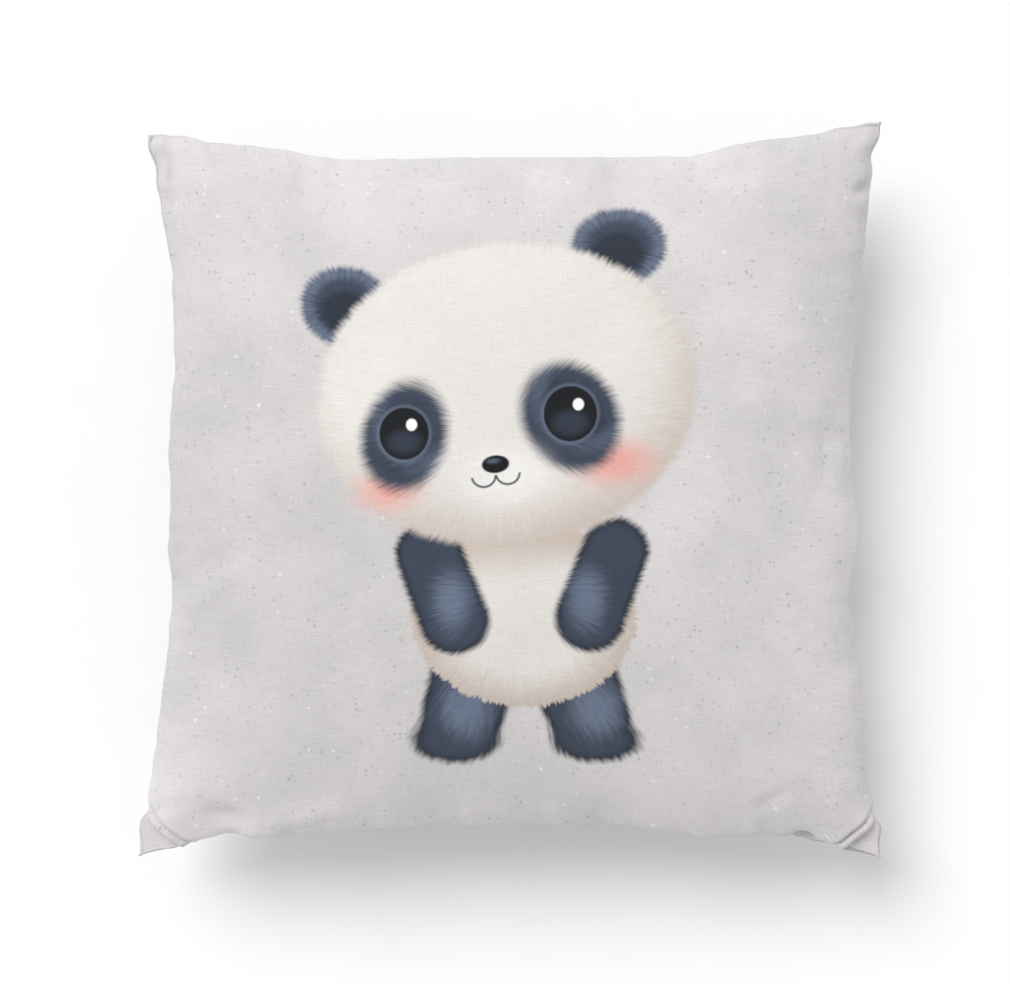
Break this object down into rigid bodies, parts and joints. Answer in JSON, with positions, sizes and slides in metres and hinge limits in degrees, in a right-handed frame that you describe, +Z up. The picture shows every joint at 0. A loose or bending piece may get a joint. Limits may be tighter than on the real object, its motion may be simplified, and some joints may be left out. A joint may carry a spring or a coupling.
{
  "type": "throw cushion",
  "caption": "Square throw cushion with crowned front and back panels, an inner pad and a coil zip in the lower side seam.",
  "frame": {"origin": "centre of the flat patch on the back panel that the cushion lies on", "axes": "+Z up through the printed panel, +X along the zip towards its closed end, +Y from the zip side to the opposite side (the top of the picture)"},
  "size_m": [0.442, 0.436, 0.1503],
  "materials": {
    "printed_cloth": "linen-look plain weave, pale grey with a printed picture",
    "plain_cloth": "linen-look plain weave, pale grey",
    "thread": "matt polyester thread",
    "lining": "white non-woven",
    "filling": "white hollow-fibre",
    "zip_tape": "woven polyester tape",
    "coil_nylon": "satin nylon",
    "zip_metal": "satin grey plated"
  },
  "bodies": {
    "cushion": {"front_panel": "printed_cloth", "back_panel": "plain_cloth", "cover_seam_thread": "thread", "pad_lining_front": "lining", "pad_lining_back": "lining", "pad_seam_thread": "thread", "pad_filling": "filling", "zip_tape_upper": "zip_tape", "zip_tape_lower": "zip_tape", "zip_coil_upper": "coil_nylon", "zip_coil_lower": "coil_nylon", "zip_top_stops": "zip_metal", "zip_bottom_stop": "zip_metal", "zip_topstitching_upper": "thread", "zip_topstitching_lower": "thread"},
    "zip_slider": {"zip_slider_body": "zip_metal"},
    "zip_pull": {"zip_pull_tab": "zip_metal"}
  },
  "joints": [
    {"name": "zip_slide", "type": "slide", "parent": "cushion", "child": "zip_slider", "axis": [-1, 0, 0], "range_m": [0, 0.27]},
    {"name": "pull_swing", "type": "hinge", "parent": "zip_slider", "child": "zip_pull", "pos_m": [0.135, -0.1984, 0.07], "axis": [0, 0, 1], "range_deg": [0, 150]}
  ]
}
